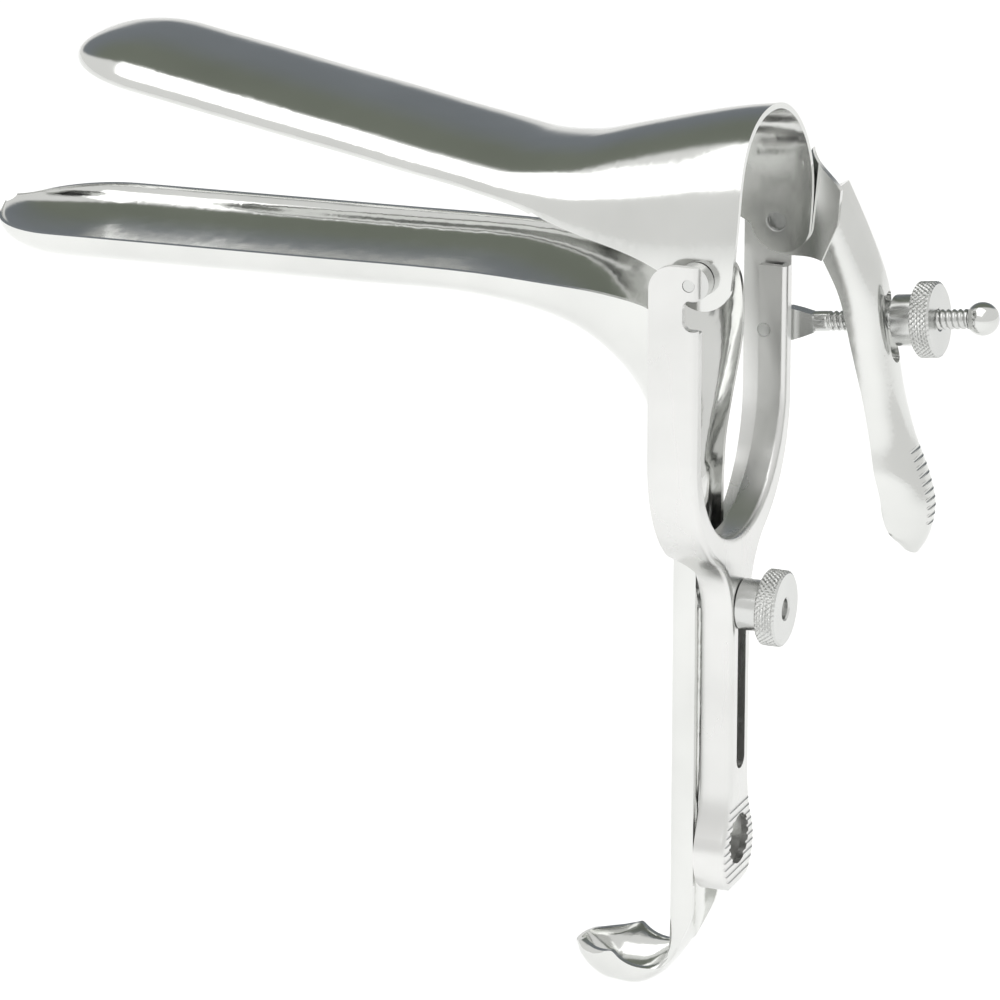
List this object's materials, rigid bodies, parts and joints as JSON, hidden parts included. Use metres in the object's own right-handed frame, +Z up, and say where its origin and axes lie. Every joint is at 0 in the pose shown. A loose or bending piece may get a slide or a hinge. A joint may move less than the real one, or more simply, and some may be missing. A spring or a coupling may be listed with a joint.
{
  "type": "bivalve speculum",
  "caption": "Bivalve speculum with hinged upper blade, sliding lower blade with handle, slotted yoke, thumb lever, threaded rod and knurled nuts.",
  "frame": {"origin": "centre of the finger hole in the pad at the foot of the yoke, halfway through the rear wall", "axes": "+X rearward to the user, so the blades run towards -X; +Y to the thumb lever's side; +Z up along the yoke"},
  "size_m": [0.2027, 0.066, 0.1903],
  "materials": {
    "polished_steel": "mirror polished stainless steel",
    "turned_steel": "turned stainless steel",
    "knurled_steel": "knurled stainless steel"
  },
  "bodies": {
    "frame": {"yoke_frame": "polished_steel", "rod_pivot_rivet": "turned_steel"},
    "top": {"upper_blade": "polished_steel", "thumb_lever": "polished_steel", "near_pivot_screw": "turned_steel", "far_pivot_screw": "turned_steel", "lever_rivet_front": "turned_steel", "lever_rivet_rear": "turned_steel"},
    "rod": {"angle_rod": "turned_steel", "rod_stop_ball": "polished_steel"},
    "setting_nut": {"angle_nut": "knurled_steel"},
    "bottom": {"lower_blade": "polished_steel", "height_stud": "turned_steel"},
    "locking_nut": {"height_nut": "knurled_steel"}
  },
  "joints": [
    {"name": "blade_hinge", "type": "hinge", "parent": "frame", "child": "top", "pos_m": [-0.00105, 0, 0.1231], "axis": [0, 1, 0], "range_deg": [-12.5, 18]},
    {"name": "rod_swing", "type": "hinge", "parent": "frame", "child": "rod", "pos_m": [-0.00405, 0.0303, 0.0998], "axis": [0, 1, 0], "range_deg": [-11.5, 16.5]},
    {"name": "angle_nut_travel", "type": "slide", "parent": "rod", "child": "setting_nut", "axis": [0.9925, 0, 0.1219], "range_m": [-0.007, 0.0049]},
    {"name": "lower_slide", "type": "slide", "parent": "frame", "child": "bottom", "axis": [0, 0, 1], "range_m": [-0.018, 0]},
    {"name": "height_nut_turn", "type": "hinge", "parent": "bottom", "child": "locking_nut", "pos_m": [0.00395, 0, 0.05], "axis": [1, 0, 0], "continuous": true}
  ],
  "couplings": [
    {"joint": "rod_swing", "follows": "blade_hinge", "ratio": 0.9},
    {"joint": "angle_nut_travel", "follows": "blade_hinge", "m_per_rad": -0.0218}
  ]
}
